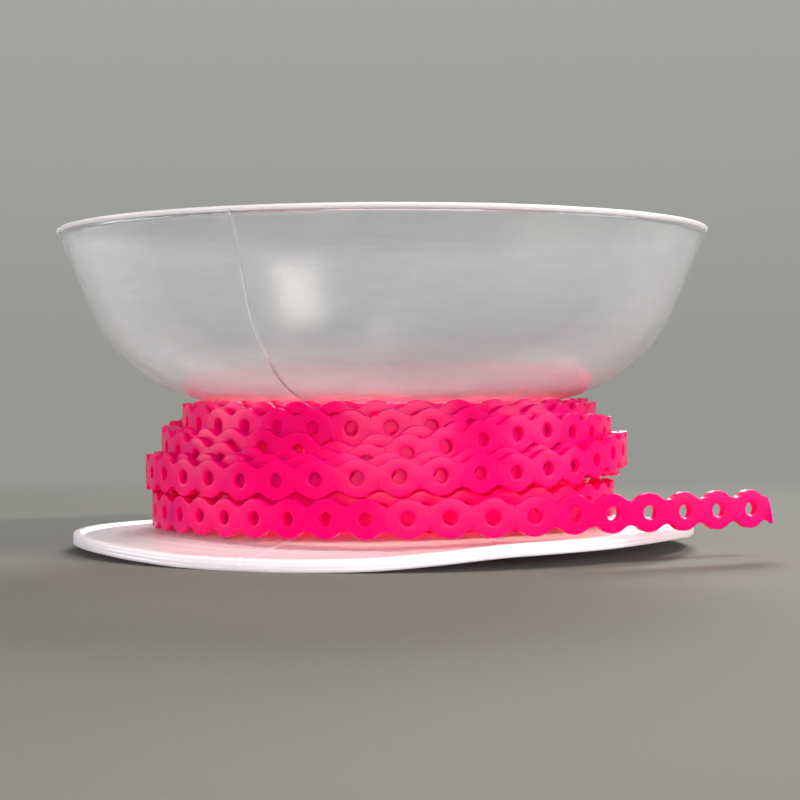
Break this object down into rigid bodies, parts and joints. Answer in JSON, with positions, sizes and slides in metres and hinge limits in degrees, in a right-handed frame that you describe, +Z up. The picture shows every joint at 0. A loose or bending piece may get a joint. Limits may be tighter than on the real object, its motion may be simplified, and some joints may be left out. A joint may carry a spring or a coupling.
{
  "type": "flip-flange bobbin with perforated elastic chain",
  "caption": "Clear moulded bobbin wound with pink perforated elastic chain; its bowl-shaped flange flips down over the base flange to hold the winding.",
  "frame": {"origin": "centre of the hub's bore, in the plane that the base flange stands on", "axes": "+Z up the hub from the base flange to the cover; the chain's free end lies along +X in front, at -Y"},
  "size_m": [0.0548, 0.0522, 0.0254],
  "materials": {
    "spool_plastic": "frosted, translucent",
    "cover_plastic": "frosted, translucent, thin",
    "chain_elastomer": "smooth, slightly translucent"
  },
  "bodies": {
    "spool": {"base_flange": "spool_plastic", "hub": "spool_plastic", "cover_floor": "spool_plastic", "cover_wall": "cover_plastic", "inner_turns": "chain_elastomer", "outer_turns": "chain_elastomer", "free_end": "chain_elastomer"},
    "cover_rim": {"cover_lip": "cover_plastic"}
  },
  "joints": [
    {"name": "cover_flip", "type": "slide", "parent": "spool", "child": "cover_rim", "axis": [0, 0, 1], "range_m": [-0.0244, 0], "deforming": ["cover_wall", "free_end"]}
  ]
}
